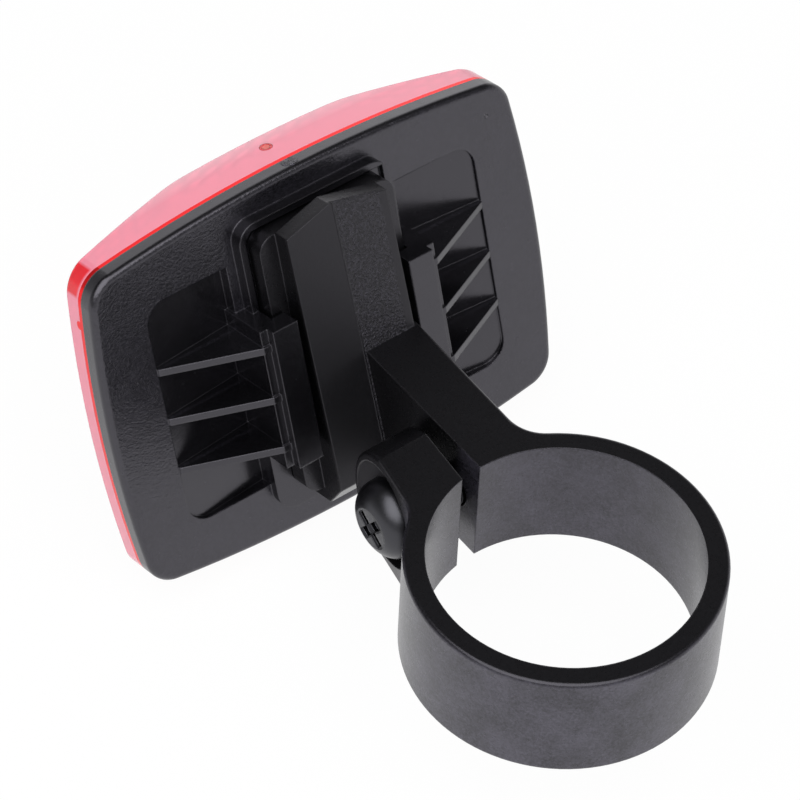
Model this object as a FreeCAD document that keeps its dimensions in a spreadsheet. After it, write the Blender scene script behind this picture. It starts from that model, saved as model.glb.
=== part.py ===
import FreeCAD, Part
import os
import re
import Sketcher

# A rear reflector on a tube clamp, in the clamp's own frame: the tube runs along Z
# through the origin, and the reflector faces -Y. The reflector head leans back, so its
# pieces are drawn flat in their own plane (x across, y up the plate, z towards the
# clamp) and then placed. The slider block of the bracket is drawn in that plane too.

SIZES = {
    "bore_radius": (15.9, "half of a 31.8 mm tube"),
    "ring_wall": (2.55, "wall of the split ring"),
    "ring_height": (15.5, "ring, arm and ear along the tube"),
    "edge_round": (0.5, "rounding of the outer edges of ring, arm and ear"),
    "slit_width": (2.7, "slit where it leaves the ring"),
    "slit_end_width": (1.4, "slit at the end of the free ear"),
    "arm_ring_width": (7.3, "arm across, at the ring"),
    "arm_root_width": (7.85, "arm across, at the slider block"),
    "arm_blend": (5.0, "rounding from arm and ear to the ring"),
    "ear_thickness": (5.2, "ear from the slit to the screw's seat"),
    "ear_fullness": (0.45, "radius of the ear's round end, over half the ring's height"),
    "ear_wall": (0.8, "rim round the seat, at the ear's round end"),
    "ear_taper": (1.35, "how much thinner the ear is at its end than at the screw"),
    "ear_foot_angle": (52.0, "where the ear's outer face meets the ring, from X"),
    "recess_depth": (1.35, "depth of the seat of the screw head, at the screw"),
    "recess_shift": (0.8, "middle of the round seat, from the screw towards the ear's end"),
    "screw_standoff": (2.35, "screw axis from the ring's outer face"),
    "screw_radius": (2.5, "M5 thread"),
    "screw_length": (16.0, "under the head"),
    "screw_hole_gap": (0.25, "round the screw, in ear and arm"),
    "screw_tip_chamfer": (0.6, "lead on the screw's tip"),
    "head_radius": (4.95, "pan head of an M5 screw"),
    "head_height": (3.8, "pan head of an M5 screw"),
    "head_round": (3.0, "rounding of the pan head"),
    "cross_reach": (2.5, "cross recess, from its middle to a tip"),
    "cross_foot": (0.9, "cross recess at its bottom"),
    "cross_wing": (1.25, "width of a wing of the cross recess"),
    "cross_depth": (2.3, "depth of the cross recess"),
    "cross_turn": (-35.0, "how far the cross recess is turned"),
    "nut_across": (8.0, "M5 nut across its flats"),
    "nut_thickness": (4.0, "M5 nut"),
    "nut_floor": (2.0, "arm wall under the nut"),
    "nut_gap": (0.1, "round the nut, in its pocket"),
    "nut_chamfer": (0.45, "on the nut's corners"),
    "thread_gap": (0.05, "between thread and nut"),
    "plate_distance": (44.26, "middle of the back plate, behind the tube's axis"),
    "plate_rise": (4.44, "middle of the back plate, above the ring's middle"),
    "plate_tilt": (17.73, "lean of the head, which a raked tube sets upright"),
    "plate_width": (62.0, "reflector across"),
    "plate_height": (47.0, "reflector from edge to edge"),
    "plate_lift": (0.3, "middle of the outline, above the middle of the slider"),
    "side_bulge": (147.0, "radius of the outline's sides"),
    "end_bulge": (179.0, "radius of the outline's top and bottom"),
    "corner_round": (4.0, "outline's corners"),
    "plate_thickness": (2.4, "back plate at its rim"),
    "plate_round": (0.8, "back edge of the plate"),
    "lens_depth": (7.05, "lens at its middle, in front of the weld"),
    "lens_flat": (24.0, "flat middle panel of the lens, across"),
    "lens_slope": (12.0, "lean of the lens's side panels"),
    "panel_round": (20.0, "rounding from the middle panel to a side panel"),
    "lens_round": (0.5, "front edge of the lens"),
    "lens_wall": (1.9, "side wall of the lens"),
    "lens_face": (2.6, "front of the lens, with its prisms"),
    "pocket_reach": (23.4, "outer edge of a pocket, from the middle"),
    "pocket_top": (15.7, "upper edge of the pockets"),
    "pocket_bottom": (15.1, "lower edge of the pockets"),
    "pocket_shallow": (0.4, "pocket depth at its outer edge"),
    "pocket_deep": (1.6, "pocket depth at its inner edge"),
    "pocket_round": (3.0, "outer corners of the pockets"),
    "pad_half": (12.0, "half width of the raised pad"),
    "pad_height": (1.2, "raised pad, above the rim"),
    "pad_bottom": (19.0, "lower end of the raised pad"),
    "pad_round": (2.7, "lower corners of the raised pad"),
    "rail_top": (9.4, "upper end of the rails"),
    "rail_bottom": (9.8, "lower end of the rails"),
    "rail_half": (12.45, "outer face of a rail"),
    "rail_height": (6.9, "rail above the rim"),
    "rail_step": (1.0, "step on the outside of a rail"),
    "rail_step_height": (5.7, "height of that step"),
    "rail_root": (1.9, "how deep a rail runs into the plate"),
    "lip_half": (8.0, "inner edge of a rail's lip"),
    "frame_margin": (2.8, "stop frame from the outline's upper edge"),
    "frame_wall": (0.9, "crest of the stop frame"),
    "frame_height": (0.55, "stop frame above the pad"),
    "frame_round": (2.5, "outer corners of the stop frame"),
    "fin_spacing": (6.95, "from fin to fin"),
    "fin_thickness": (0.9, "a fin"),
    "fin_foot": (0.2, "height of a fin's outer end"),
    "fin_height": (6.0, "height of a fin at the rail"),
    "flange_half": (9.5, "half width of the slider's flange"),
    "flange_thickness": (2.6, "slider's flange"),
    "flange_bottom": (16.3, "lower end of the flange"),
    "flange_round": (2.0, "corners of the flange"),
    "slide_gap": (0.3, "flange to the channel's sides and to the stop"),
    "floor_gap": (0.15, "flange to the pad"),
    "lip_gap": (0.25, "flange to the lips"),
    "web_half": (7.05, "half width of the slider block"),
    "web_bottom": (18.1, "lower end of the slider block"),
    "web_overhang": (0.2, "block's sides past the flange's upper end"),
    "web_gable": (1.8, "ridge of the block's upper end past its sides"),
    "web_peak_aside": (0.7, "that ridge from the middle"),
    "face_top": (6.4, "block face above the rim, at the upper end"),
    "face_bottom": (7.9, "block face above the rim, at the lower end"),
    "block_chamfer": (3.2, "chamfer at the block's lower end"),
}

# Sizes that follow from the ones above, in the same notation.
WORKED = {
    "ring_outer": "bore_radius + ring_wall",
    "half_height": "ring_height / 2",
    "screw_y": "ring_outer + screw_standoff",
    "seat": "slit_width + ear_thickness",
    "ear_outer": "seat + recess_depth",
    "boss_radius": "half_height + ear_fullness",
    "recess_radius": "boss_radius - ear_wall - recess_shift",
    "ear_end": "screw_y + boss_radius",
    "hole_radius": "screw_radius + screw_hole_gap",
    "outline_half": "plate_width / 2",
    "outline_rise": "plate_height / 2",
    "channel_half": "flange_half + slide_gap",
    "frame_top": "outline_rise - frame_margin",
    "stop_edge": "frame_top - frame_wall",
    "flange_top": "stop_edge - slide_gap",
    "web_shoulder": "flange_top + web_overhang",
    "web_peak": "web_shoulder + web_gable",
    "frame_half": "channel_half + frame_wall",
    "flange_low": "pad_height + floor_gap",
    "flange_high": "flange_low + flange_thickness",
    "lip_low": "flange_high + lip_gap",
    "lens_front": "plate_thickness + lens_depth",
}

PLATE_FRAME = ("placement(vector(0; -plate_distance; plate_rise);"
               " rotation(180; 0; 90 - plate_tilt))")

doc = FreeCAD.newDocument("rear_reflector")
sheet = doc.addObject("Spreadsheet::Sheet", "sheet")


def sized(text):
    """The expression with each size turned into its cell of the sheet."""
    known = set(SIZES) | set(WORKED)
    return re.sub(r"[a-z_]+", lambda word: "sheet." + word[0] if word[0] in known else word[0], text)


def fill_sheet():
    row = 1
    for name, (value, note) in SIZES.items():
        sheet.set(f"A{row}", name)
        sheet.set(f"B{row}", str(value))
        sheet.set(f"C{row}", note)
        sheet.setAlias(f"B{row}", name)
        row += 1
    for name, text in WORKED.items():
        cell = re.sub(r"[a-z_]+", lambda word: word[0] if word[0] in SIZES or word[0] in WORKED else "", text)
        sheet.set(f"A{row}", name)
        sheet.set(f"B{row}", "=" + cell)
        sheet.setAlias(f"B{row}", name)
        row += 1
    doc.recompute()


def bind(item, **sizes):
    """Ties properties of an object to the sheet, two underscores for a dot."""
    for name, text in sizes.items():
        item.setExpression(name.replace("__", "."), sized(text))
    return item


def new_body(name, in_plate=False):
    body = doc.addObject("PartDesign::Body", name)
    if in_plate:
        bind(body, Placement=PLATE_FRAME)
    return body


def origin_item(body, role):
    return [item for item in body.Origin.OriginFeatures if item.Role == role][0]


def new_sketch(body, name, plane, lift="0"):
    """An empty sketch parallel to one of the body's planes, lifted along its normal."""
    sketch = body.newObject("Sketcher::SketchObject", name)
    sketch.AttachmentSupport = [(origin_item(body, plane), "")]
    sketch.MapMode = "FlatFace"
    return bind(sketch, AttachmentOffset__Base__z=lift)


def fix_point(sketch, line, end, across, up):
    for kind, text in (("DistanceX", across), ("DistanceY", up)):
        mark = sketch.addConstraint(Sketcher.Constraint(kind, line, end, 1.0))
        sketch.setExpression(f"Constraints[{mark}]", sized(text))


def draw_polygon(sketch, corners):
    """A closed outline whose corners are all tied to the sheet."""
    first = sketch.GeometryCount
    ring = Part.makePolygon([FreeCAD.Rotation(FreeCAD.Vector(0, 0, 1), 360.0 * step / len(corners))
                             .multVec(FreeCAD.Vector(10, 0, 0)) for step in range(len(corners) + 1)])
    for edge in ring.Edges:
        start, end = (vertex.Point for vertex in edge.Vertexes)
        sketch.addGeometry(Part.LineSegment(start, end))
    for step, (across, up) in enumerate(corners):
        line = first + step
        after = first + (step + 1) % len(corners)
        sketch.addConstraint(Sketcher.Constraint("Coincident", line, 2, after, 1))
        fix_point(sketch, line, 1, across, up)


def draw_pair(sketch, corners):
    """The outline and its mirror image across the sketch's vertical axis."""
    draw_polygon(sketch, corners)
    draw_polygon(sketch, [(f"-({across})", up) for across, up in reversed(corners)])


def draw_circle(sketch, radius, across="0", up="0"):
    circle = sketch.addGeometry(Part.Circle(FreeCAD.Vector(0, 0, 0), FreeCAD.Vector(0, 0, 1), 5))
    mark = sketch.addConstraint(Sketcher.Constraint("Radius", circle, 5.0))
    sketch.setExpression(f"Constraints[{mark}]", sized(radius))
    fix_point(sketch, circle, 3, across, up)


def sheet_value(name):
    return float(sheet.get(name))


def draw_round_end(sketch):
    """All that lies beyond a half circle about the screw, which the ear's round end leaves out."""
    corners = [("-screw_y", "-boss_radius"), ("-2 * ear_end", "-boss_radius"),
               ("-2 * ear_end", "boss_radius"), ("-screw_y", "boss_radius")]
    middle = -sheet_value("screw_y")
    radius = sheet_value("boss_radius")
    low = FreeCAD.Vector(middle, -radius)
    high = FreeCAD.Vector(middle, radius)
    rim = [low, low * 2, high * 2, high]
    for line in range(3):
        sketch.addGeometry(Part.LineSegment(rim[line], rim[line + 1]))
        fix_point(sketch, line, 1, *corners[line])
        fix_point(sketch, line, 2, *corners[line + 1])
    doc.recompute()
    arc = sketch.addGeometry(Part.Arc(high, FreeCAD.Vector(middle - radius, 0), low))
    sketch.addConstraint(Sketcher.Constraint("Coincident", 2, 2, arc, 1))
    sketch.addConstraint(Sketcher.Constraint("Coincident", arc, 2, 0, 1))
    mark = sketch.addConstraint(Sketcher.Constraint("DistanceX", arc, 3, middle))
    sketch.setExpression(f"Constraints[{mark}]", sized("-screw_y"))


def draw_barrel(sketch, inset):
    """The reflector's outline: a rectangle whose four sides bulge out."""
    reach = {"half": sheet_value("outline_half"), "rise": sheet_value("outline_rise"),
             "side": sheet_value("side_bulge"), "end": sheet_value("end_bulge"),
             "lift": sheet_value("plate_lift")}
    wide = reach["half"] - reach["rise"] ** 2 / (2 * reach["side"])
    tall = reach["rise"] - reach["half"] ** 2 / (2 * reach["end"])
    corners = [FreeCAD.Vector(wide, reach["lift"] - tall), FreeCAD.Vector(wide, reach["lift"] + tall),
               FreeCAD.Vector(-wide, reach["lift"] + tall), FreeCAD.Vector(-wide, reach["lift"] - tall)]
    middles = [FreeCAD.Vector(reach["half"], reach["lift"]), FreeCAD.Vector(0, reach["lift"] + reach["rise"]),
               FreeCAD.Vector(-reach["half"], reach["lift"]), FreeCAD.Vector(0, reach["lift"] - reach["rise"])]
    centres = [("outline_half - side_bulge", "plate_lift"),
               ("0", "plate_lift + outline_rise - end_bulge"),
               ("side_bulge - outline_half", "plate_lift"),
               ("0", "plate_lift - outline_rise + end_bulge")]
    for side in range(4):
        arc = sketch.addGeometry(Part.Arc(corners[side], middles[side], corners[(side + 1) % 4]))
        radius = ("side_bulge", "end_bulge")[side % 2]
        mark = sketch.addConstraint(Sketcher.Constraint("Radius", arc, sheet_value(radius)))
        sketch.setExpression(f"Constraints[{mark}]", sized(f"{radius} - {inset}"))
        fix_point(sketch, arc, 3, *centres[side])
    for side in range(4):
        sketch.addConstraint(Sketcher.Constraint("Coincident", side, 2, (side + 1) % 4, 1))


def extrude(body, kind, name, sketch, length, both_ways=False, backwards=False):
    """A pad or a pocket of a sketch, checked to have changed the body's volume."""
    doc.recompute()
    base = body.Tip
    before = base.Shape.Volume if base else 0.0
    feature = body.newObject(f"PartDesign::{kind}", name)
    feature.Profile = sketch
    feature.Midplane = both_ways
    feature.Reversed = backwards
    bind(feature, Length=length)
    doc.recompute()
    change = feature.Shape.Volume - before
    if change * (1 if kind == "Pad" else -1) <= 0:
        raise RuntimeError(f"{name} leaves its body as it was")
    return feature


def round_edges(body, name, radius, wanted):
    """A fillet on the edges of the body's last feature that the test picks."""
    doc.recompute()
    base = body.Tip
    names = [f"Edge{number + 1}" for number, edge in enumerate(base.Shape.Edges) if wanted(edge)]
    if not names:
        raise RuntimeError(f"{name} finds no edge")
    fillet = body.newObject("PartDesign::Fillet", name)
    fillet.Base = (base, names)
    bind(fillet, Radius=radius)
    doc.recompute()
    return fillet


def runs_along(edge, axis):
    """True for a straight edge that lies along x, y or z."""
    size = edge.BoundBox
    spans = [size.XLength, size.YLength, size.ZLength]
    span = spans.pop("xyz".index(axis))
    return span > 1e-4 and max(spans) < 1e-4


def lies_level(edge, height):
    size = edge.BoundBox
    return abs(size.ZMin - height) < 1e-4 and abs(size.ZMax - height) < 1e-4


def barrel_body(name, inset, low, high):
    """A slab with the reflector's outline between two heights, its corners rounded."""
    body = new_body(name, in_plate=True)
    outline = new_sketch(body, name + "_outline", "XY_Plane", low)
    draw_barrel(outline, inset)
    extrude(body, "Pad", name + "_slab", outline, f"({high}) - ({low})")
    round_edges(body, name + "_corners", f"corner_round - {inset}", lambda edge: runs_along(edge, "z"))
    return body


def lens_body(name, inset, face):
    """The lens's outer form, or with an inset and a face the hollow inside it."""
    body = barrel_body(name, inset, f"-lens_front + {face}", "-plate_thickness")
    facets = new_sketch(body, name + "_facets", "XZ_Plane")
    far = "outline_half + 5"
    front = f"-lens_front + {face}"
    draw_pair(facets, [("lens_flat / 2", front), ("lens_flat / 2", f"{front} - 5"), (far, f"{front} - 5"),
                       (far, f"{front} + ({far} - lens_flat / 2) * tan(lens_slope)")])
    extrude(body, "Pocket", name + "_sides", facets, "3 * plate_height", both_ways=True)
    return body


def make_lens():
    outer = lens_body("lens_outer", "0", "0")
    weld = -sheet_value("plate_thickness")
    round_edges(outer, "lens_panels", "panel_round",
                lambda edge: runs_along(edge, "y") and edge.BoundBox.ZMax < weld - 1e-3)
    round_edges(outer, "lens_front_edge", "lens_round",
                lambda edge: edge.BoundBox.ZMax < weld - 1e-3 and not runs_along(edge, "y")
                and not runs_along(edge, "z"))
    hollow = lens_body("lens_hollow", "lens_wall", "lens_face")
    lens = doc.addObject("Part::Cut", "lens")
    lens.Base = outer
    lens.Tool = hollow
    return lens


def make_back_plate():
    body = barrel_body("back_plate", "0", "-plate_thickness", "0")
    round_edges(body, "plate_back_edge", "plate_round", lambda edge: lies_level(edge, 0.0))

    pockets = new_sketch(body, "pocket_section", "XZ_Plane", "(pocket_bottom - pocket_top) / 2")
    draw_pair(pockets, [("pad_half", "1"), ("pad_half", "-pocket_deep"),
                        ("pocket_reach", "-pocket_shallow"), ("pocket_reach", "1")])
    extrude(body, "Pocket", "pockets", pockets, "pocket_top + pocket_bottom", both_ways=True)
    reach = sheet_value("pocket_reach")
    round_edges(body, "pocket_corners", "pocket_round",
                lambda edge: runs_along(edge, "z") and abs(abs(edge.CenterOfMass.x) - reach) < 1e-3)

    pad = new_sketch(body, "pad_outline", "XY_Plane", "-plate_thickness / 2")
    draw_polygon(pad, [("-pad_half", "-pad_bottom"), ("pad_half", "-pad_bottom"), ("pad_half", "rail_top"),
                       ("frame_half", "rail_top"), ("frame_half", "frame_top"), ("-frame_half", "frame_top"),
                       ("-frame_half", "rail_top"), ("-pad_half", "rail_top")])
    extrude(body, "Pad", "pad", pad, "plate_thickness / 2 + pad_height")
    low = sheet_value("pad_bottom")
    high = sheet_value("frame_top")
    level = sheet_value("pad_height")

    frame = new_sketch(body, "frame_outline", "XY_Plane", "pad_height")
    draw_polygon(frame, [("frame_half", "rail_top"), ("frame_half", "frame_top"), ("-frame_half", "frame_top"),
                         ("-frame_half", "rail_top"), ("-channel_half", "rail_top"), ("-channel_half", "stop_edge"),
                         ("channel_half", "stop_edge"), ("channel_half", "rail_top")])
    extrude(body, "Pad", "stop_frame", frame, "frame_height")
    round_edges(body, "pad_corners", "pad_round",
                lambda edge: runs_along(edge, "z") and abs(edge.CenterOfMass.y + low) < 1e-3)
    round_edges(body, "frame_corners", "frame_round",
                lambda edge: runs_along(edge, "z") and abs(edge.CenterOfMass.y - high) < 1e-3
                and edge.BoundBox.ZMax > level)

    rails = new_sketch(body, "rail_section", "XZ_Plane", "(rail_bottom - rail_top) / 2")
    draw_pair(rails, [("channel_half", "-rail_root"), ("rail_half", "-rail_root"), ("rail_half", "rail_step_height"),
                      ("rail_half - rail_step", "rail_step_height"), ("rail_half - rail_step", "rail_height"),
                      ("lip_half", "rail_height"), ("lip_half", "lip_low"), ("channel_half", "lip_low")])
    extrude(body, "Pad", "rails", rails, "rail_top + rail_bottom", both_ways=True)

    fins = new_sketch(body, "fin_outline", "XZ_Plane", "fin_spacing")
    middle = "(channel_half + rail_half) / 2"
    draw_pair(fins, [(middle, "-rail_root"), ("pocket_reach", "-rail_root"), ("pocket_reach", "fin_foot"),
                     ("rail_half", "fin_height"), (middle, "fin_height")])
    fin = extrude(body, "Pad", "fin", fins, "fin_thickness", both_ways=True)
    row = body.newObject("PartDesign::LinearPattern", "fin_row")
    row.Originals = [fin]
    row.Direction = (origin_item(body, "Y_Axis"), [""])
    row.Occurrences = 3
    bind(row, Length="2 * fin_spacing")
    body.Tip = row
    doc.recompute()
    return body


def make_slider():
    """The block that the head hangs on: a flange in the rails and a web between the lips."""
    body = new_body("slider", in_plate=True)
    side = new_sketch(body, "block_side", "YZ_Plane")
    draw_polygon(side, [("-web_bottom", "flange_low"), ("flange_top", "flange_low"), ("flange_top", "flange_high"),
                        ("web_peak", "flange_high"), ("web_peak", "face_top"),
                        ("-web_bottom + block_chamfer", "face_bottom"),
                        ("-web_bottom", "face_bottom - block_chamfer")])
    extrude(body, "Pad", "block", side, "2 * web_half", both_ways=True)
    gable = new_sketch(body, "block_gable", "XY_Plane")
    draw_polygon(gable, [("-web_half", "web_shoulder"), ("-web_peak_aside", "web_peak"), ("web_half", "web_shoulder"),
                         ("2 * web_half", "web_shoulder"), ("2 * web_half", "2 * web_peak"),
                         ("-2 * web_half", "2 * web_peak"), ("-2 * web_half", "web_shoulder")])
    extrude(body, "Pocket", "gable", gable, "4 * face_bottom", both_ways=True)
    flange = new_sketch(body, "flange_outline", "XY_Plane", "flange_low")
    draw_polygon(flange, [("-flange_half", "-flange_bottom"), ("flange_half", "-flange_bottom"),
                          ("flange_half", "flange_top"), ("-flange_half", "flange_top")])
    extrude(body, "Pad", "flange", flange, "flange_thickness")
    half = sheet_value("flange_half")
    round_edges(body, "flange_corners", "flange_round",
                lambda edge: runs_along(edge, "z") and abs(abs(edge.CenterOfMass.x) - half) < 1e-3)
    return body


def on_ear_rim(edge):
    """True for an edge of the ear's round end on its outer side."""
    middle = edge.valueAt((edge.FirstParameter + edge.LastParameter) / 2)
    reach = ((middle.y + sheet_value("screw_y")) ** 2 + middle.z ** 2) ** 0.5
    return edge.BoundBox.XMin > sheet_value("seat") and abs(reach - sheet_value("boss_radius")) < 1e-3


def make_clamp():
    """The split ring with the fixed arm on one side of its slit and the free ear on the other."""
    body = new_body("clamp")
    disc = new_sketch(body, "ring_outline", "XY_Plane")
    draw_circle(disc, "ring_outer")
    extrude(body, "Pad", "ring", disc, "ring_height", both_ways=True)

    arm = new_sketch(body, "arm_outline", "XY_Plane")
    draw_polygon(arm, [("0", "-bore_radius"), ("-arm_ring_width", "-bore_radius"),
                       ("-arm_root_width", "-plate_distance"), ("0", "-plate_distance")])
    extrude(body, "Pad", "arm", arm, "ring_height", both_ways=True)

    ear = new_sketch(body, "ear_outline", "XY_Plane")
    foot = "(bore_radius + ring_wall / 2)"
    draw_polygon(ear, [("-arm_ring_width / 2", "-bore_radius"), ("-arm_ring_width / 2", "-ear_end"),
                       ("ear_outer - ear_taper", "-ear_end"), ("ear_outer", "-screw_y"),
                       (f"{foot} * cos(ear_foot_angle)", f"-{foot} * sin(ear_foot_angle)")])
    extrude(body, "Pad", "ear", ear, "ring_height", both_ways=True)

    around = new_sketch(body, "ear_end_outline", "YZ_Plane")
    draw_round_end(around)
    extrude(body, "Pocket", "ear_round_end", around, "4 * ear_outer", backwards=True)

    edge_y = -sheet_value("ear_end")
    outer = sheet_value("ring_outer")
    round_edges(body, "ring_blends", "arm_blend",
                lambda edge: runs_along(edge, "z") and abs(edge.CenterOfMass.x) > 3
                and abs((edge.CenterOfMass.x ** 2 + edge.CenterOfMass.y ** 2) ** 0.5 - outer) < 1e-3)
    level = sheet_value("half_height")
    round_edges(body, "outer_edges", "edge_round",
                lambda edge: (lies_level(edge, level) or lies_level(edge, -level) or on_ear_rim(edge))
                and not (runs_along(edge, "y") and abs(edge.CenterOfMass.x) < 1e-3)
                and edge.BoundBox.YMin > -sheet_value("plate_distance") - 1e-3
                and not (runs_along(edge, "x") and edge.CenterOfMass.y < edge_y - 1))

    bore = new_sketch(body, "bore_outline", "XY_Plane")
    draw_circle(bore, "bore_radius")
    extrude(body, "Pocket", "bore", bore, "2 * ring_height", both_ways=True)

    slit = new_sketch(body, "slit_outline", "XY_Plane")
    draw_polygon(slit, [("0", "0"), ("0", "-ear_end - 1"), ("slit_end_width", "-ear_end - 1"),
                        ("slit_width", "-bore_radius"), ("slit_width", "0")])
    extrude(body, "Pocket", "slit", slit, "2 * ring_height", both_ways=True)

    hole = new_sketch(body, "hole_outline", "YZ_Plane")
    draw_circle(hole, "hole_radius", "-screw_y")
    extrude(body, "Pocket", "screw_hole", hole, "4 * ear_outer", both_ways=True)

    seat = new_sketch(body, "seat_outline", "YZ_Plane", "seat")
    draw_circle(seat, "recess_radius", "-screw_y - recess_shift")
    extrude(body, "Pocket", "head_seat", seat, "4 * recess_depth", backwards=True)

    nut = new_sketch(body, "nut_outline", "YZ_Plane", "-nut_floor")
    half = "(nut_across / 2 + nut_gap)"
    corner = f"{half} / cos(30)"
    draw_polygon(nut, [(f"-screw_y + {corner} * cos({60 * step})", f"{corner} * sin({60 * step})")
                       for step in range(6)])
    extrude(body, "Pocket", "nut_pocket", nut, "2 * arm_root_width")
    return body


def make_bracket():
    """One moulding: the clamp, cut where it reaches into the slider block, and the block."""
    clamp = make_clamp()
    slider = make_slider()
    trim = doc.addObject("Part::Box", "arm_trim")
    bind(trim, Length="4 * plate_width", Width="4 * plate_width", Height="2 * plate_distance",
         Placement="placement(vector(0; -plate_distance; plate_rise); rotation(180; 0; 90 - plate_tilt))"
                   " * placement(vector(-2 * plate_width; -2 * plate_width; flange_high - 2 * plate_distance);"
                   " rotation(0; 0; 0))")
    arm = doc.addObject("Part::Cut", "clamp_and_arm")
    arm.Base = clamp
    arm.Tool = trim
    bracket = doc.addObject("Part::MultiFuse", "bracket")
    bracket.Shapes = [arm, slider]
    return bracket


def make_screw():
    body = new_body("screw_turned")
    profile = new_sketch(body, "screw_profile", "XY_Plane")
    axis = "-screw_y"
    tip = "(seat - screw_length)"
    draw_polygon(profile, [(tip, axis), (tip, f"{axis} + screw_radius - screw_tip_chamfer"),
                           (f"{tip} + screw_tip_chamfer", f"{axis} + screw_radius"),
                           ("seat", f"{axis} + screw_radius"), ("seat", f"{axis} + head_radius"),
                           ("seat + head_height", f"{axis} + head_radius"), ("seat + head_height", axis)])
    doc.recompute()
    turned = body.newObject("PartDesign::Revolution", "screw_revolved")
    turned.Profile = profile
    turned.ReferenceAxis = (profile, ["Edge7"])
    turned.Angle = 360
    doc.recompute()
    top = sheet_value("seat") + sheet_value("head_height")
    round_edges(body, "head_dome", "head_round",
                lambda edge: abs(edge.BoundBox.XMin - top) < 1e-4 and edge.BoundBox.XLength < 1e-4)

    wings = []
    for name, turn in (("wing_upright", "cross_turn"), ("wing_level", "90 + cross_turn")):
        wing = doc.addObject("Part::Box", name)
        bind(wing, Length="2 * cross_depth", Width="cross_wing", Height="4 * cross_reach",
             Placement=f"placement(vector(seat + head_height - cross_depth; -screw_y; 0);"
                       f" rotation(0; 0; {turn}))"
                       " * placement(vector(0; -cross_wing / 2; -2 * cross_reach); rotation(0; 0; 0))")
        wings.append(wing)
    cross = doc.addObject("Part::MultiFuse", "cross")
    cross.Shapes = wings
    cone = doc.addObject("Part::Cone", "cross_cone")
    bind(cone, Radius1="cross_foot", Radius2="cross_reach", Height="cross_depth",
         Placement="placement(vector(seat + head_height - cross_depth; -screw_y; 0); rotation(0; 90; 0))")
    recess = doc.addObject("Part::MultiCommon", "cross_recess")
    recess.Shapes = [cross, cone]
    screw = doc.addObject("Part::Cut", "clamp_screw")
    screw.Base = body
    screw.Tool = recess
    return screw


def make_nut():
    body = new_body("nut_turned")
    profile = new_sketch(body, "nut_profile", "XY_Plane")
    axis = "-screw_y"
    inner = f"{axis} + screw_radius + thread_gap"
    outer = f"{axis} + nut_across / 2 / cos(30)"
    near = "-nut_floor"
    far = "-nut_floor - nut_thickness"
    draw_polygon(profile, [(near, inner), (near, f"{outer} - 2 * nut_chamfer"), (f"{near} - nut_chamfer", outer),
                           (f"{far} + nut_chamfer", outer), (far, f"{outer} - 2 * nut_chamfer"), (far, inner)])
    line = profile.addGeometry(Part.LineSegment(FreeCAD.Vector(-9, -20, 0), FreeCAD.Vector(-1, -20, 0)), True)
    fix_point(profile, line, 1, far, axis)
    fix_point(profile, line, 2, near, axis)
    doc.recompute()
    turned = body.newObject("PartDesign::Revolution", "nut_revolved")
    turned.Profile = profile
    turned.ReferenceAxis = (profile, ["Axis0"])
    turned.Angle = 360
    hexagon = doc.addObject("Part::Prism", "nut_hexagon")
    hexagon.Polygon = 6
    bind(hexagon, Circumradius="nut_across / 2 / cos(30)", Height="3 * nut_thickness",
         Placement="placement(vector(-nut_floor - 2 * nut_thickness; -screw_y; 0); rotation(0; 90; 0))"
                   " * placement(vector(0; 0; 0); rotation(90; 0; 0))")
    nut = doc.addObject("Part::MultiCommon", "clamp_nut")
    nut.Shapes = [body, hexagon]
    return nut


def check_and_write(pieces):
    doc.recompute()
    for item in doc.Objects:
        if "Invalid" in item.State or "Error" in item.State:
            raise RuntimeError(f"{item.Label} is {item.State}")
    for piece in pieces:
        shape = piece.Shape
        if shape.isNull() or not shape.isValid() or len(shape.Solids) != 1:
            raise RuntimeError(f"{piece.Label} isn't one valid solid")
    os.makedirs("parts", exist_ok=True)
    for piece in pieces:
        piece.Shape.exportStep(f"parts/{piece.Label}.step")
        print(piece.Label, round(piece.Shape.Volume, 2))


fill_sheet()
check_and_write([make_lens(), make_back_plate(), make_bracket(), make_screw(), make_nut()])
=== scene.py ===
import math

import bpy
from mathutils import Matrix, Vector


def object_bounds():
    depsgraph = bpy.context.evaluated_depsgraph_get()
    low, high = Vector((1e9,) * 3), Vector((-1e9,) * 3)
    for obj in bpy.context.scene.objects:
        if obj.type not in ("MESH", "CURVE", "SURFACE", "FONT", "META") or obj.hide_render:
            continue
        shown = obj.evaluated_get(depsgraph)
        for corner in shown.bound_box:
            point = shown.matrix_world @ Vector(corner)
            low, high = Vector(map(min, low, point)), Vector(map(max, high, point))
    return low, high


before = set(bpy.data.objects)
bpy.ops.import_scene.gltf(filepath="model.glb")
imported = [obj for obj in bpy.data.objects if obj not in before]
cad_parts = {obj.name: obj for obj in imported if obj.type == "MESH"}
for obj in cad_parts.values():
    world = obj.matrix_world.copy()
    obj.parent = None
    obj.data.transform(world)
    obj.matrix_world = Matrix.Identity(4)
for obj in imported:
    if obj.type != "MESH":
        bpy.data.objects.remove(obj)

CAD_BOX = [list(map(float, corner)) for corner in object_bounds()]

bl_info = {
    "name": "Rear Reflector on a Tube Clamp",
    "version": (1, 0, 0),
    "blender": (4, 5, 0),
    "location": "View3D > Sidebar > Reflector",
    "description": "Finishes a bicycle rear reflector: acrylic lens, grained back plate, "
                   "clamp bracket and screw",
    "category": "Object",
}

MM = 0.001

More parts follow.
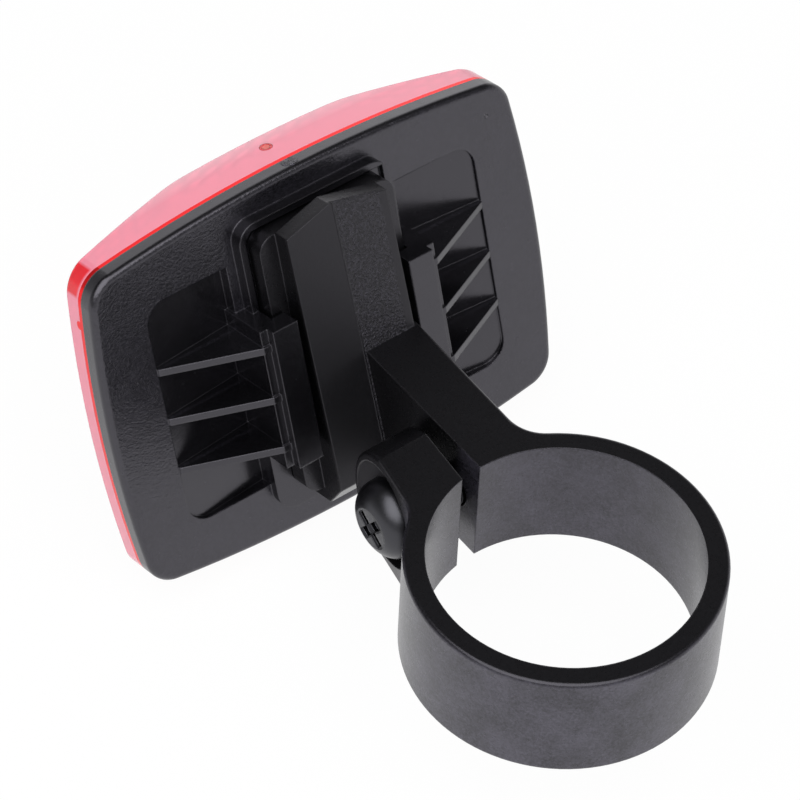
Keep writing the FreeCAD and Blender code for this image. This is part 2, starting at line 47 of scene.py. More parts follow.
# The plate's own frame: u across it, v up it, n towards the clamp, from the middle of its rim.
PLATE_TILT = math.radians(17.73)
PLATE_ORIGIN = Vector((0.0, -0.04426, 0.00444))
PLATE_AXES = Matrix(((-1.0, 0.0, 0.0),
                     (0.0, -math.sin(PLATE_TILT), math.cos(PLATE_TILT)),
                     (0.0, math.cos(PLATE_TILT), math.sin(PLATE_TILT)))).transposed()
TOP_WALL = (20.0, 26.0)  # v of the walls along the top, in millimetres

# How wide a mask's edge is to each side, unless a mark has its own, in the unit of the place.
SOFT = 0.05

# The seeds that keep the patterns of one material apart.
PLATE_SEEDS = {"waves": 5.0, "torn": 11.0, "patches": 13.0, "painted_glints": 17.0, "bloom": 21.0}
BRACKET_SEEDS = {"pits": 3.0, "specks": 7.0, "waves": 9.0, "bloom": 31.0}


def length(name, description, default):
    """A property for a length, in metres."""
    return bpy.props.FloatProperty(name=name, description=description, default=default,
                                   subtype="DISTANCE", unit="LENGTH")


def colour(name, description, default):
    """A property for a colour, as an sRGB hex code."""
    return bpy.props.StringProperty(name=name, description=description, default=default)


class ReflectorSizes(bpy.types.PropertyGroup):
    """Sizes of the fine details, in metres."""
    prism_pitch: length(
        "Prism pitch", "From the middle of one corner-cube prism to the next", 0.0026)
    prism_zone_gap: length("Prism zone gap", "Plain strip between two fields of prisms", 0.0008)
    rim_grain: length("Rim grain", "Size of the spark-eroded grain on the back plate", 0.00035)
    edge_radius: length(
        "Edge radius", "Rounding that the moulds leave on every edge of the black pieces", 0.00025)
    head_edge: length(
        "Head edge", "Rounding of the screw head's edges, from cold heading", 0.0006)
    face_grain: length("Face grain", "Size of the coarser grain on the block's face", 0.0003)
    thread_pitch: length("Thread pitch", "Advance of the clamp screw in one turn", 0.0008)


class ReflectorColours(bpy.types.PropertyGroup):
    """Colours of the finishes, as sRGB hex codes."""
    acrylic: colour("Acrylic", "Dye of the lens, as one wall of it looks against white", "#FF99AE")
    # Painted light: the lens walls are painted in this paler pink towards the front.
    pale: colour("Pale acrylic", "Lens wall near its front edge", "#FFC2CE")
    weld: colour("Weld line", "Lens at its joint with the plate", "#F01018")
    post: colour(
        "Thick acrylic", "Lens where it is thick, at its corner post and round the gate", "#F02834")
    gate: colour("Gate scar", "Lens where the gate was cut off", "#F4665C")
    prisms: colour(
        "Prisms", "Light turned back by the prisms through the dyed face", "#E01020")
    plate: colour("Plate", "Black moulding of the back plate", "#070708")
    bracket: colour("Bracket", "Black moulding of the clamp bracket", "#070708")
    # This pale colour also paints the painted glints on the plate's gate scar and on the block's
    # grained face.
    bloom: colour("Bloom", "Pale film on the black walls, in clouds and specks", "#44424C")
    gloss: colour("Gloss", "Cool cast of the black plastic's gloss", "#F6F2FF")
    screw: colour("Screw", "Blackened steel of the clamp screw", "#4A4A4E")
    nut: colour("Nut", "Zinc plate of the clamp nut", "#C4C6C9")


def linear(code):
    """An sRGB hex code as linear values with full alpha, by the sRGB curve."""
    parts = [int(code[place:place + 2], 16) / 255 for place in (1, 3, 5)]
    return tuple(part / 12.92 if part <= 0.04045 else ((part + 0.055) / 1.055) ** 2.4
                 for part in parts) + (1.0,)


def plug(tree, node, sockets):
    """Gives a node's sockets their values, or links them to other nodes' outputs."""
    for socket, value in sockets.items():
        if isinstance(value, bpy.types.NodeSocket):
            tree.links.new(value, node.inputs[socket])
        else:
            node.inputs[socket].default_value = value


def add_node(tree, kind, sockets=None, **settings):
    """Adds a node, sets its properties and plugs its sockets."""
    node = tree.nodes.new(kind)
    for name, value in settings.items():
        setattr(node, name, value)
    plug(tree, node, sockets or {})
    return node


def math_node(tree, operation, *values):
    """A math node whose inputs are numbers or other nodes' outputs."""
    return add_node(tree, "ShaderNodeMath", dict(enumerate(values)), operation=operation).outputs[0]


def chain(tree, operation, first, *others):
    """One operation carried through several values, such as the product of three."""
    for other in others:
        first = math_node(tree, operation, first, other)
    return first


def product(tree, *values):
    """The product of several numbers or outputs."""
    return chain(tree, "MULTIPLY", *values)


def vector_node(tree, operation, *values, output="Vector"):
    """A vector math node whose inputs are vectors or other nodes' outputs."""
    return add_node(tree, "ShaderNodeVectorMath", dict(enumerate(values)),
                    operation=operation).outputs[output]


def split(tree, vector):
    """A vector's three coordinates."""
    return add_node(tree, "ShaderNodeSeparateXYZ", {"Vector": vector}).outputs


def ranged(tree, value, start, end, low=0.0, high=1.0, **settings):
    """A value carried from the span start to end onto low to high, and held at their ends."""
    sockets = {"Value": value, "From Min": start, "From Max": end, "To Min": low, "To Max": high}
    return add_node(tree, "ShaderNodeMapRange", sockets, **settings).outputs["Result"]


def spread(tree, value, low, high):
    """A value from 0 to 1 spread between two others."""
    return ranged(tree, value, 0.0, 1.0, low, high)


def below(tree, value, high, soft=SOFT):
    """1 below a value and 0 above it, with a soft end."""
    return ranged(tree, value, high + soft, high - soft)


def within(tree, value, low, high, soft=SOFT):
    """1 between two values and 0 outside them, with soft ends."""
    return product(tree, ranged(tree, value, low - soft, low + soft),
                   below(tree, value, high, soft))


def distance(tree, first, second, middle):
    """How far a place is from a point, in two of the coordinates."""
    gaps = [math_node(tree, "SUBTRACT", value, centre)
            for value, centre in zip((first, second), middle)]
    squares = [math_node(tree, "MULTIPLY", gap, gap) for gap in gaps]
    return math_node(tree, "SQRT", math_node(tree, "ADD", *squares))


def near(tree, first, second, middle, reach, soft=SOFT):
    """1 inside a circle in two of the coordinates and 0 outside it, with a soft edge."""
    return below(tree, distance(tree, first, second, middle), reach, soft)


def facing(tree, way):
    """How squarely a face looks along a direction, to either side: 1 straight on, 0 edge on."""
    normal = add_node(tree, "ShaderNodeNewGeometry").outputs["True Normal"]
    return math_node(tree, "ABSOLUTE",
                     vector_node(tree, "DOT_PRODUCT", normal, way, output="Value"))


def mix_colour(tree, factor, first, second):
    """A colour between two, each a hex code or another node's output."""
    node = add_node(tree, "ShaderNodeMix", {"Factor": factor}, data_type="RGBA")
    for name, value in (("A", first), ("B", second)):
        socket = [item for item in node.inputs if item.name == name and item.type == "RGBA"][0]
        if isinstance(value, str):
            socket.default_value = linear(value)
        else:
            tree.links.new(value, socket)
    return [item for item in node.outputs if item.type == "RGBA"][0]


def bump(tree, height, depth, strength=1.0, under=None):
    """A bump of the given depth in metres, laid over another one if there is one."""
    sockets = {"Strength": strength, "Distance": depth, "Height": height}
    if under is not None:
        sockets["Normal"] = under
    return add_node(tree, "ShaderNodeBump", sockets).outputs["Normal"]


def soft_edges(tree, reach):
    """A normal that rounds every edge by a small radius."""
    return add_node(tree, "ShaderNodeBevel", {"Radius": reach}, samples=6).outputs["Normal"]


def grain(tree, place, size, seed=0.0):
    """Fine pits all over, one grain across, between 0 and 1."""
    sockets = {"Vector": place, "Scale": 1 / size, "Detail": 3.0, "Roughness": 0.6, "W": seed}
    return add_node(tree, "ShaderNodeTexNoise", sockets, noise_dimensions="4D").outputs["Fac"]


CLOUD_SIZE = 6.0 * MM
CLOUD_SPAN = (0.38, 0.66)
SPECK_SIZE = 0.3 * MM
SPECK_SPAN = (0.35, 0.7)


def bloom(tree, place, seed, clouds, specks):
    """How much of the pale film lies at a place: slow clouds and grains of the given weights."""
    cloud = ranged(tree, grain(tree, place, CLOUD_SIZE, seed), *CLOUD_SPAN, 0.0, clouds)
    speck = ranged(tree, grain(tree, place, SPECK_SIZE, seed + 1.0), *SPECK_SPAN, 0.0, specks)
    return math_node(tree, "ADD", cloud, speck)


def new_material(name):
    """A node material with its shader and its place in object coordinates."""
    material = bpy.data.materials.new(name)
    material.use_nodes = True
    tree = material.node_tree
    shader = tree.nodes["Principled BSDF"]
    place = add_node(tree, "ShaderNodeTexCoord").outputs["Object"]
    return material, tree, shader, place


def in_plate_frame(tree, place):
    """The place in the plate's frame, in millimetres: u, v and n."""
    sockets = {"Vector": place, "Location": PLATE_ORIGIN, "Rotation": PLATE_AXES.to_euler("XYZ"),
               "Scale": (MM, MM, MM)}
    return add_node(tree, "ShaderNodeMapping", sockets, vector_type="TEXTURE").outputs["Vector"]


def dress(node, material):
    """Gives a CAD node one material."""
    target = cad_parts[node]
    target.data.materials.clear()
    target.data.materials.append(material)


NO_WRAP = 1e3  # a step so long that the third coordinate never wraps


def corner_cubes(tree, plate, pitch):
    """The height of corner cubes over a six-sided lattice, in the lattice's own unit.
    The nearest middle comes from two square-cornered lattices, the second moved by half a step
    each way. A facet falls from the middle by the greatest of three distances, along directions
    a third of a turn apart."""
    half = (pitch * math.sqrt(3) / 2, pitch / 2, NO_WRAP / 2)
    back = tuple(-size for size in half)
    moved = vector_node(tree, "ADD", plate, (half[0], half[1], 0.0))
    first, second = (
        vector_node(tree, "MULTIPLY", vector_node(tree, "WRAP", lattice, half, back),
                    (1.0, 1.0, 0.0))
        for lattice in (plate, moved))
    nearer = math_node(tree, "LESS_THAN", vector_node(tree, "LENGTH", first, output="Value"),
                       vector_node(tree, "LENGTH", second, output="Value"))
    chosen = add_node(tree, "ShaderNodeMix", {"Factor": nearer, "A": second, "B": first},
                      data_type="VECTOR").outputs["Result"]
    falls = [vector_node(tree, "DOT_PRODUCT", chosen, (math.cos(turn), math.sin(turn), 0.0),
                         output="Value")
             for turn in (0.0, math.tau / 3, 2 * math.tau / 3)]
    return math_node(tree, "MULTIPLY", chain(tree, "MAXIMUM", *falls), -math.sqrt(2))


# The lens, in millimetres of the plate's frame, where n falls towards its front.
LENS_FLAT = 12.0                 # half the width of its flat middle panel
LENS_SLOPE = math.radians(12.0)  # how far its side panels lean
INNER_FACE = -6.85
INNER_FACE_BAND = 0.2
FIELD_HALF = 27.0                # half the width of the prisms' fields
FIELD_RISE = 20.5                # half their height
CUBES_MISS = (0.25, 0.4)         # slant of the view, from 0 to 1, over which the cubes fail
MISSED_RELIEF = 0.35
WELD_DEPTH = 2.4
WELD_BAND = 0.6
WELD_METAL = 0.75
PAINTED_LIGHT_SPAN = (-6.5, -9.6)         # n over which the walls are painted paler, as painted light
WELD_DROP = (15.6, -3.2)         # v and n of a drop of the weld on a side wall
WELD_DROP_RADIUS = 0.55
SIDE_WALL = (-32.0, -29.0)
CORNER_POST = (-28.7, 20.6)      # u and v
POST_RADIUS = 1.8
POST_SPAN = (-8.9, -3.3)
POST_SOFT = 0.2
LENS_GATE = (-0.3, -6.4)         # u and n on the top wall
LENS_GATE_RADIUS = 0.75
LENS_GATE_RING = (0.5, 0.78)
LENS_GATE_SOFT = 0.06

# The lens's relief, with depths in metres, and its finish.
PRISM_DEPTH = 0.4 * MM
LENS_GATE_DEPTH = 0.3 * MM
RIPPLES_PER_METRE = 90.0
RIPPLE_DEPTH = 0.2 * MM
RIPPLE_STRENGTH = 0.05
FACE_SPAN = (0.3, 0.9)           # from the side walls to the faces in front and inside
LENS_ROUGHNESS = (0.15, 0.05)
LENS_CLEARNESS = (0.2, 1.0)
ACRYLIC_IOR = 1.49


def acrylic_material(colours, sizes):
    """Injection-moulded acrylic, dyed through: clear and glossy in front, deeper red at the weld.
    Its inner face carries the corner cubes, which turn light back only from inside the acrylic.
    The side walls are satin from the tool and glow milky pink, with the round scar of the gate
    at the top."""
    material, tree, shader, place = new_material("moulded red acrylic")
    plate = in_plate_frame(tree, place)
    across, up, depth = split(tree, plate)
    aside = math_node(tree, "ABSOLUTE", across)

    past_flat = math_node(tree, "MAXIMUM", math_node(tree, "SUBTRACT", aside, LENS_FLAT), 0.0)
    slope = math_node(tree, "MULTIPLY", past_flat, math.tan(LENS_SLOPE))
    above_face = chain(tree, "SUBTRACT", depth, slope, INNER_FACE)
    on_face = within(tree, above_face, -INNER_FACE_BAND, INNER_FACE_BAND)
    field = product(tree, below(tree, aside, FIELD_HALF),
                    below(tree, math_node(tree, "ABSOLUTE", up), FIELD_RISE))
    strip = sizes.prism_zone_gap / MM
    gap = math_node(tree, "SUBTRACT", 1.0,
                    within(tree, aside, LENS_FLAT - strip, LENS_FLAT + strip))
    inside = add_node(tree, "ShaderNodeNewGeometry").outputs["Backfacing"]
    mirror = product(tree, on_face, field, gap, inside)
    # Past about 45 degrees the cubes no longer turn the light back, and only scatter it.
    slant = add_node(tree, "ShaderNodeLayerWeight", {"Blend": 0.5}).outputs["Facing"]
    missed = ranged(tree, slant, *CUBES_MISS)

    at_weld = within(tree, depth, -WELD_DEPTH - WELD_BAND, 0.0)
    drop = product(tree, near(tree, up, depth, WELD_DROP, WELD_DROP_RADIUS),
                   within(tree, across, *SIDE_WALL))
    joint = math_node(tree, "MAXIMUM", at_weld, drop)
    post = product(tree, near(tree, across, up, CORNER_POST, POST_RADIUS, POST_SOFT),
                   within(tree, depth, *POST_SPAN, POST_SOFT))
    on_top = within(tree, up, *TOP_WALL)
    gate_far = distance(tree, across, depth, LENS_GATE)
    gate = product(tree, below(tree, gate_far, LENS_GATE_RADIUS, LENS_GATE_SOFT), on_top)
    gate_rim = product(tree, within(tree, gate_far, *LENS_GATE_RING, LENS_GATE_SOFT), on_top)

    # The walls are painted paler towards the front, as painted light where more light comes through
    # them.
    dye_and_painted_light = mix_colour(tree, ranged(tree, depth, *PAINTED_LIGHT_SPAN), colours.acrylic, colours.pale)
    for mark, code in ((joint, colours.weld), (post, colours.post), (gate, colours.gate),
                       (gate_rim, colours.post)):
        dye_and_painted_light = mix_colour(tree, mark, dye_and_painted_light, code)
    turned = mix_colour(tree, missed, colours.prisms, colours.acrylic)

    cubes = product(tree, corner_cubes(tree, plate, sizes.prism_pitch / MM),
                    product(tree, mirror, spread(tree, missed, 1.0, MISSED_RELIEF)))
    ripple = add_node(tree, "ShaderNodeTexNoise",
                      {"Vector": place, "Scale": RIPPLES_PER_METRE, "Detail": 1.0}).outputs["Fac"]
    normal = bump(tree, cubes, PRISM_DEPTH)
    normal = bump(tree, gate_rim, LENS_GATE_DEPTH, 1.0, normal)
    normal = bump(tree, ripple, RIPPLE_DEPTH, RIPPLE_STRENGTH, normal)

    square = facing(tree, tuple(PLATE_AXES.col[2]))
    plug(tree, shader, {
        "Base Color": mix_colour(tree, mirror, dye_and_painted_light, turned),
        # The molten bead of the weld is thick enough that even its gloss looks red.
        "Metallic": math_node(tree, "MAXIMUM", mirror, spread(tree, joint, 0.0, WELD_METAL)),
        "Roughness": ranged(tree, square, *FACE_SPAN, *LENS_ROUGHNESS),
        "Transmission Weight": ranged(tree, square, *FACE_SPAN, *LENS_CLEARNESS),
        "IOR": ACRYLIC_IOR,
        "Normal": normal,
    })
    return material


# The back plate's marks, in millimetres of its frame.
RIM_SPAN = (-0.25, 0.3)
PLATE_GATE = (-0.35, -1.6)       # u and n on the top edge
PLATE_GATE_RADIUS = 0.95
PLATE_GATE_SOFT = 0.1
RIM_DIMPLE = (26.0, 18.05)       # u and v
DIMPLE_RING = (0.18, 0.3)
DIMPLE_SOFT = 0.06

# Its relief, with sizes and depths in metres. The torn scar is drawn deeper than real, because
# it doesn't show in the picture otherwise.
PLATE_WAVE_SIZE = 12.0 * MM
PLATE_WAVE_DEPTH = 0.4 * MM
WAVE_STRENGTH = 0.25
RIM_GRAIN_DEPTH = 0.06 * MM
RIM_GRAIN_STRENGTH = (0.15, 0.8)  # off the rim, and on it
TORN_SIZE = 0.7 * MM
TORN_DEPTH = 1.0 * MM
DIMPLE_DEPTH = 0.1 * MM

# Its finish. The index of refraction is set above the 1.54 of ABS, so that the gloss is
# as bright as in the photograph.
PATCH_SIZE = 1.6 * MM
PLATE_ROUGHNESS = (0.12, 0.26)
PATCH_ROUGHNESS = 0.1
PLATE_CLOUDS = 0.05
PLATE_SPECKS = 0.2
FILM_OFF_RIM = 0.2
# Size, span and weight of the painted glints on the torn gate scar.
GLINT_SIZE = 0.4 * MM
GLINT_SPAN = (0.5, 0.62)
GLINT_WEIGHT = 4.0               # over 1, where the mix is held, so that the painted glints have hard edges
PLATE_IOR = 1.72


def plate_material(colours, sizes):
    """Injection-moulded black ABS from a spark-eroded tool: an even fine grain on the rim, and
    smoother where it is cored."""
    material, tree, shader, place = new_material("moulded black ABS, spark grain")
    across, up, depth = split(tree, in_plate_frame(tree, place))
    on_rim = within(tree, depth, *RIM_SPAN)
    pits = grain(tree, place, sizes.rim_grain)
    # Slow waves of shrinkage, which bend the reflections of the room.
    waves = grain(tree, place, PLATE_WAVE_SIZE, PLATE_SEEDS["waves"])
    # The torn scar of the gate on the top edge, and the small dimple of a pin on the rim.
    scar = product(tree, near(tree, across, depth, PLATE_GATE, PLATE_GATE_RADIUS, PLATE_GATE_SOFT),
                   within(tree, up, *TOP_WALL))
    torn = product(tree, scar, grain(tree, place, TORN_SIZE, PLATE_SEEDS["torn"]))
    dimple = within(tree, distance(tree, across, up, RIM_DIMPLE), *DIMPLE_RING, DIMPLE_SOFT)
    normal = soft_edges(tree, sizes.edge_radius)
    normal = bump(tree, waves, PLATE_WAVE_DEPTH, WAVE_STRENGTH, normal)
    normal = bump(tree, pits, RIM_GRAIN_DEPTH, spread(tree, on_rim, *RIM_GRAIN_STRENGTH), normal)
    normal = bump(tree, torn, TORN_DEPTH, 1.0, normal)
    normal = bump(tree, dimple, -DIMPLE_DEPTH, 1.0, normal)

    patches = grain(tree, place, PATCH_SIZE, PLATE_SEEDS["patches"])
    film = product(tree, bloom(tree, place, PLATE_SEEDS["bloom"], PLATE_CLOUDS, PLATE_SPECKS),
                   spread(tree, on_rim, FILM_OFF_RIM, 1.0))
    # Small pale flecks are painted on the torn gate scar as painted glints, where torn plastic
    # would catch the light.
    painted_glints = ranged(tree, grain(tree, place, GLINT_SIZE, PLATE_SEEDS["painted_glints"]),
                    *GLINT_SPAN, 0.0, GLINT_WEIGHT)
    film = math_node(tree, "MAXIMUM", film, product(tree, painted_glints, scar))
    plug(tree, shader, {
        "Base Color": mix_colour(tree, film, colours.plate, colours.bloom),
        "Roughness": math_node(tree, "ADD", spread(tree, pits, *PLATE_ROUGHNESS),
                               spread(tree, patches, 0.0, PATCH_ROUGHNESS)),
        "Specular Tint": linear(colours.gloss),
        "IOR": PLATE_IOR,
        "Normal": normal,
    })
    return material


# The block's face, in millimetres of the plate's frame. It rises a little towards its lower end,
# so the place is measured from the face itself.
FACE_LEVEL = 7.285
FACE_SLOPE = 0.0412
FACE_BAND = (-0.5, 0.12)
KNIT_LINE = -0.3                 # u of the line between its halves
KNIT_HALF = 0.1                  # half the line's width
ROUGH_EDGE = 6.0                 # u past the grained half's outer edge
ROUGH_SOFT = 0.15

# The seat of the screw head and the ring's walls, in metres.
SEAT_LEVEL = 0.0078
SEAT_MIDDLE = (-0.0216, 0.0)     # y and z
SEAT_RADIUS = 0.0066
SEAT_SOFT = 0.0001
RING_REACH = 0.0195
RING_SOFT = 0.001

# The bracket's relief, with sizes and depths in metres. The grain on the block's face is drawn
# deeper than real, because it doesn't show in the picture otherwise.
BRACKET_WAVE_SIZE = 15.0 * MM
BRACKET_WAVE_DEPTH = 0.5 * MM
PIT_DEPTH = 0.04 * MM
PIT_STRENGTH = 0.35
FACE_GRAIN_DEPTH = 0.8 * MM
FACE_GRAIN_STRENGTH = 0.9
KNIT_DEPTH = 0.3 * MM

# Its finish. The index of refraction is set above the 1.53 of nylon.
BRACKET_ROUGHNESS = (0.22, 0.36)
FACE_MATT = 0.2
SEAT_MATT = 0.5
BRACKET_CLOUDS = 0.5
BRACKET_SPECKS = 0.8
# Span and weight of the painted glints in specks on the block's grained half.
SPARKLE_SPAN = (0.46, 0.7)
SPARKLE_WEIGHT = 0.5
BRACKET_IOR = 1.57


def bracket_material(colours, sizes):
    """Injection-moulded black nylon: satin all over, and on one half of the block's face a coarse
    spark grain. A fine weld line parts the two halves, where the flows of plastic met."""
    material, tree, shader, place = new_material("moulded black nylon, satin")
    across, up, depth = split(tree, in_plate_frame(tree, place))
    along, aside, rise = split(tree, place)
    level = math_node(tree, "ADD", depth, math_node(tree, "MULTIPLY", up, FACE_SLOPE))
    on_face = within(tree, math_node(tree, "SUBTRACT", level, FACE_LEVEL), *FACE_BAND)
    rough_half = product(tree, on_face, within(tree, across, KNIT_LINE, ROUGH_EDGE, ROUGH_SOFT))
    line = product(tree, on_face,
                   within(tree, across, KNIT_LINE - KNIT_HALF, KNIT_LINE + KNIT_HALF))
    pits = grain(tree, place, sizes.rim_grain, BRACKET_SEEDS["pits"])
    specks = grain(tree, place, sizes.face_grain, BRACKET_SEEDS["specks"])
    waves = grain(tree, place, BRACKET_WAVE_SIZE, BRACKET_SEEDS["waves"])
    normal = soft_edges(tree, sizes.edge_radius)
    normal = bump(tree, waves, BRACKET_WAVE_DEPTH, WAVE_STRENGTH, normal)
    normal = bump(tree, pits, PIT_DEPTH, PIT_STRENGTH, normal)
    normal = bump(tree, specks, FACE_GRAIN_DEPTH,
                  spread(tree, rough_half, 0.0, FACE_GRAIN_STRENGTH), normal)
    normal = bump(tree, line, KNIT_DEPTH, 1.0, normal)

    # The block's face and the seat of the screw head are more matt than the rest.
    in_seat = product(tree, math_node(tree, "GREATER_THAN", along, SEAT_LEVEL),
                      near(tree, aside, rise, SEAT_MIDDLE, SEAT_RADIUS, SEAT_SOFT))
    matt = math_node(tree, "MAXIMUM", spread(tree, on_face, 0.0, FACE_MATT),
                     spread(tree, in_seat, 0.0, SEAT_MATT))
    # A pale film clouds the walls of the ring, inside and out, but not its upper and lower faces.
    on_ring = product(tree, math_node(tree, "SUBTRACT", 1.0, facing(tree, (0.0, 0.0, 1.0))),
                      near(tree, along, aside, (0.0, 0.0), RING_REACH, RING_SOFT))
    film = product(tree, bloom(tree, place, BRACKET_SEEDS["bloom"], BRACKET_CLOUDS, BRACKET_SPECKS),
                   on_ring)
    # Pale specks are painted on the grained half of the block's face as painted glints, where the
    # coarse grain catches the light.
    painted_sparkle = ranged(tree, specks, *SPARKLE_SPAN, 0.0, SPARKLE_WEIGHT)
    film = math_node(tree, "MAXIMUM", film, product(tree, painted_sparkle, rough_half))
    plug(tree, shader, {
        "Base Color": mix_colour(tree, film, colours.bracket, colours.bloom),
        "Roughness": math_node(tree, "ADD", spread(tree, pits, *BRACKET_ROUGHNESS), matt),
        "Specular Tint": linear(colours.gloss),
        "IOR": BRACKET_IOR,
        "Normal": normal,
    })
    return material


# The screw and its nut, in metres.
SCREW_AXIS = (-0.0208, 0.0)      # y and z
THREAD_REACH = 0.00265
THREAD_SOFT = 0.00005
THREAD_DEPTH = 0.25 * MM
TOOL_MARKS_PER_METRE = 700.0
TOOL_MARK_DEPTH = 0.03 * MM
TOOL_MARK_STRENGTH = 0.15
SCREW_ROUGHNESS = 0.34
NUT_ROUGHNESS = 0.3


def steel_material(name, code, roughness, sizes):
    """Cold-headed steel with a rolled thread: rings a pitch apart, only near the screw's axis."""
    material, tree, shader, place = new_material(name)
    along, aside, rise = split(tree, place)
    on_thread = near(tree, aside, rise, SCREW_AXIS, THREAD_REACH, THREAD_SOFT)
    rings = math_node(tree, "SINE",
                      math_node(tree, "MULTIPLY", along, math.tau / sizes.thread_pitch))
    tool_marks = add_node(
        tree, "ShaderNodeTexNoise",
        {"Vector": place, "Scale": TOOL_MARKS_PER_METRE, "Detail": 2.0}).outputs["Fac"]
    normal = soft_edges(tree, sizes.head_edge)
    normal = bump(tree, product(tree, rings, on_thread), THREAD_DEPTH, 1.0, normal)
    normal = bump(tree, tool_marks, TOOL_MARK_DEPTH, TOOL_MARK_STRENGTH, normal)
    plug(tree, shader, {"Base Color": linear(code), "Metallic": 1.0, "Roughness": roughness,
                        "Normal": normal})
    return material


class REFLECTOR_OT_lens(bpy.types.Operator):
    """Finishes the lens, with the prisms on its inner face"""
    bl_idname = "reflector.lens"
    bl_label = "Lens and prisms"

    def execute(self, context):
        scene = context.scene
        dress("lens", acrylic_material(scene.reflector_colours, scene.reflector_sizes))
        return {"FINISHED"}


class REFLECTOR_OT_back_plate(bpy.types.Operator):
    """Finishes the back plate"""
    bl_idname = "reflector.back_plate"
    bl_label = "Back plate"

    def execute(self, context):
        scene = context.scene
        dress("back_plate", plate_material(scene.reflector_colours, scene.reflector_sizes))
        return {"FINISHED"}


class REFLECTOR_OT_bracket(bpy.types.Operator):
    """Finishes the clamp bracket"""
    bl_idname = "reflector.bracket"
    bl_label = "Clamp bracket"

    def execute(self, context):
        scene = context.scene
        dress("bracket", bracket_material(scene.reflector_colours, scene.reflector_sizes))
        return {"FINISHED"}


class REFLECTOR_OT_fastener(bpy.types.Operator):
    """Finishes the clamp screw and its nut"""
    bl_idname = "reflector.fastener"
    bl_label = "Screw and nut"

    def execute(self, context):
        sizes = context.scene.reflector_sizes
        colours = context.scene.reflector_colours
        dress("clamp_screw",
              steel_material("blackened steel", colours.screw, SCREW_ROUGHNESS, sizes))
        dress("clamp_nut", steel_material("zinc-plated steel", colours.nut, NUT_ROUGHNESS, sizes))
        return {"FINISHED"}


class REFLECTOR_OT_stage(bpy.types.Operator):
    """Adds the floor, the light and the camera"""
    bl_idname = "reflector.stage"
    bl_label = "Floor, light and camera"

    def execute(self, context):
        low = CAD_BOX[0][2]
        add_floor(low)
        add_light()
        add_camera(context.scene)
        context.scene.view_settings.view_transform = "Standard"
        return {"FINISHED"}


def rays_seen(tree, *kinds):
    """1 for rays of the given kinds, such as the camera's own, and 0 for the rest."""
    path = add_node(tree, "ShaderNodeLightPath")
    return chain(tree, "MAXIMUM", *(path.outputs[kind] for kind in kinds))


WHITE = (1, 1, 1, 1)
FLOOR_REACH = 3.0
PAPER = (0.95, 0.95, 0.95, 1.0)
PAPER_ROUGHNESS = 0.95
FLOOR_DIRECT = 0.96              # how much of the camera's view of the floor is plain white


def add_floor(height):
    """A wide level floor, white to the eye and in reflections, that still takes the object's
    soft shadow."""
    mesh = bpy.data.meshes.new("floor")
    corners = [(side * FLOOR_REACH, end * FLOOR_REACH, height)
               for side, end in ((-1, -1), (1, -1), (1, 1), (-1, 1))]
    mesh.from_pydata(corners, [], [(0, 1, 2, 3)])
    floor = bpy.data.objects.new("floor", mesh)
    bpy.context.scene.collection.objects.link(floor)
    material, tree, shader, _ = new_material("white sweep paper")
    plug(tree, shader, {"Base Color": PAPER, "Roughness": PAPER_ROUGHNESS})
    glow = add_node(tree, "ShaderNodeEmission", {"Color": WHITE, "Strength": 1.0})
    direct = product(tree, rays_seen(tree, "Is Camera Ray"), FLOOR_DIRECT)
    seen = math_node(tree, "MAXIMUM", direct,
                     rays_seen(tree, "Is Glossy Ray", "Is Transmission Ray"))
    mixed = add_node(tree, "ShaderNodeMixShader",
                     {0: seen, 1: shader.outputs[0], 2: glow.outputs[0]})
    plug(tree, tree.nodes["Material Output"], {"Surface": mixed.outputs[0]})
    mesh.materials.append(material)


# The surround's strength by how far up and how far to the side a direction points.
RISE_SPAN = (0.05, 0.6)
RISE_STRENGTH = (0.9, 0.1)
SIDE_SPAN = (-0.8, 0.8)
SIDE_STRENGTH = (1.1, 0.5)

# Each soft box's name, place and width in metres, and power in watts.
SOFT_BOXES = (("key_box", (0.25, 0.2, 0.65), 1.0, 8.6),
              ("back_box", (-0.33, -0.68, 0.25), 0.5, 0.5))
BOX_AIM = Vector((0, -0.02, 0))


def add_light():
    """A surround that is pale at the horizon and dim overhead, a soft box above and one low
    behind the reflector."""
    world = bpy.data.worlds.new("studio surround")
    bpy.context.scene.world = world
    world.use_nodes = True
    tree = world.node_tree
    way = add_node(tree, "ShaderNodeTexCoord").outputs["Generated"]
    side, _, rise = split(tree, way)
    dimmed = product(
        tree,
        ranged(tree, rise, *RISE_SPAN, *RISE_STRENGTH, interpolation_type="SMOOTHSTEP"),
        ranged(tree, side, *SIDE_SPAN, *SIDE_STRENGTH, interpolation_type="SMOOTHSTEP"))
    seen = rays_seen(tree, "Is Camera Ray", "Is Transmission Ray")
    plug(tree, tree.nodes["Background"],
         {"Color": WHITE, "Strength": math_node(tree, "MAXIMUM", dimmed, seen)})
    for name, place, width, power in SOFT_BOXES:
        lamp = bpy.data.lights.new(name, "AREA")
        lamp.size = width
        lamp.energy = power
        box = bpy.data.objects.new(name, lamp)
        bpy.context.scene.collection.objects.link(box)
        box.location = place
        box.rotation_euler = (BOX_AIM - Vector(place)).to_track_quat("-Z", "Y").to_euler()


# The camera, with lengths in metres but lens and sensor in millimetres.
CAMERA_TURN = math.radians(141.0)
CAMERA_RISE = math.radians(48.60)
CAMERA_ROLL = math.radians(2.870)
CAMERA_FAR = 0.49863
CAMERA_ASIDE = -0.01840
CAMERA_ABOVE = 0.02255
CAMERA_LENS = 198.0
CAMERA_SENSOR = 36.0
CAMERA_NEAREST = 0.01


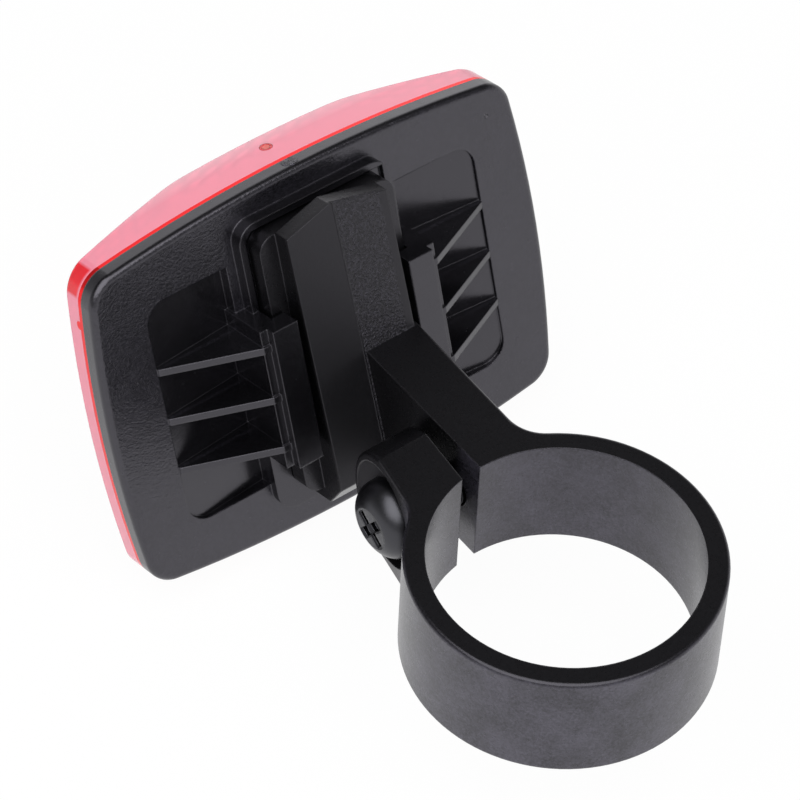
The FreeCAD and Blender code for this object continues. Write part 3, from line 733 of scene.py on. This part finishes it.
def add_camera(scene):
    """The camera stands at the photograph's angle: turned from the view along +Y, raised, and
    rolled a little."""
    back = Vector((math.sin(CAMERA_TURN) * math.cos(CAMERA_RISE),
                   -math.cos(CAMERA_TURN) * math.cos(CAMERA_RISE), math.sin(CAMERA_RISE)))
    level = Vector((0, 0, 1)).cross(back).normalized()
    upright = back.cross(level)
    right = math.cos(CAMERA_ROLL) * level + math.sin(CAMERA_ROLL) * upright
    up = math.cos(CAMERA_ROLL) * upright - math.sin(CAMERA_ROLL) * level
    lens = bpy.data.cameras.new("camera")
    lens.lens = CAMERA_LENS
    lens.sensor_width = CAMERA_SENSOR
    lens.clip_start = CAMERA_NEAREST
    camera = bpy.data.objects.new("camera", lens)
    scene.collection.objects.link(camera)
    place = CAMERA_FAR * back + CAMERA_ASIDE * right + CAMERA_ABOVE * up
    turned = Matrix((right, up, back)).transposed().to_4x4()
    camera.matrix_world = Matrix.Translation(place) @ turned
    scene.camera = camera


class REFLECTOR_PT_panel(bpy.types.Panel):
    """Lists the pieces' operators with their sizes and colours"""
    bl_idname = "REFLECTOR_PT_panel"
    bl_label = "Rear reflector"
    bl_space_type = "VIEW_3D"
    bl_region_type = "UI"
    bl_category = "Reflector"

    def draw(self, context):
        for group in (context.scene.reflector_sizes, context.scene.reflector_colours):
            for name in group.__annotations__:
                self.layout.prop(group, name)
        for operator in OPERATORS:
            self.layout.operator(operator.bl_idname)


OPERATORS = (REFLECTOR_OT_lens, REFLECTOR_OT_back_plate, REFLECTOR_OT_bracket,
             REFLECTOR_OT_fastener, REFLECTOR_OT_stage)
CLASSES = (ReflectorSizes, ReflectorColours) + OPERATORS + (REFLECTOR_PT_panel,)


def register():
    for item in CLASSES:
        bpy.utils.register_class(item)
    bpy.types.Scene.reflector_sizes = bpy.props.PointerProperty(type=ReflectorSizes)
    bpy.types.Scene.reflector_colours = bpy.props.PointerProperty(type=ReflectorColours)


def unregister():
    del bpy.types.Scene.reflector_colours
    del bpy.types.Scene.reflector_sizes
    for item in reversed(CLASSES):
        bpy.utils.unregister_class(item)


def main():
    register()
    bpy.ops.reflector.lens()
    bpy.ops.reflector.back_plate()
    bpy.ops.reflector.bracket()
    bpy.ops.reflector.fastener()
    bpy.ops.reflector.stage()


if __name__ == "__main__":
    main()
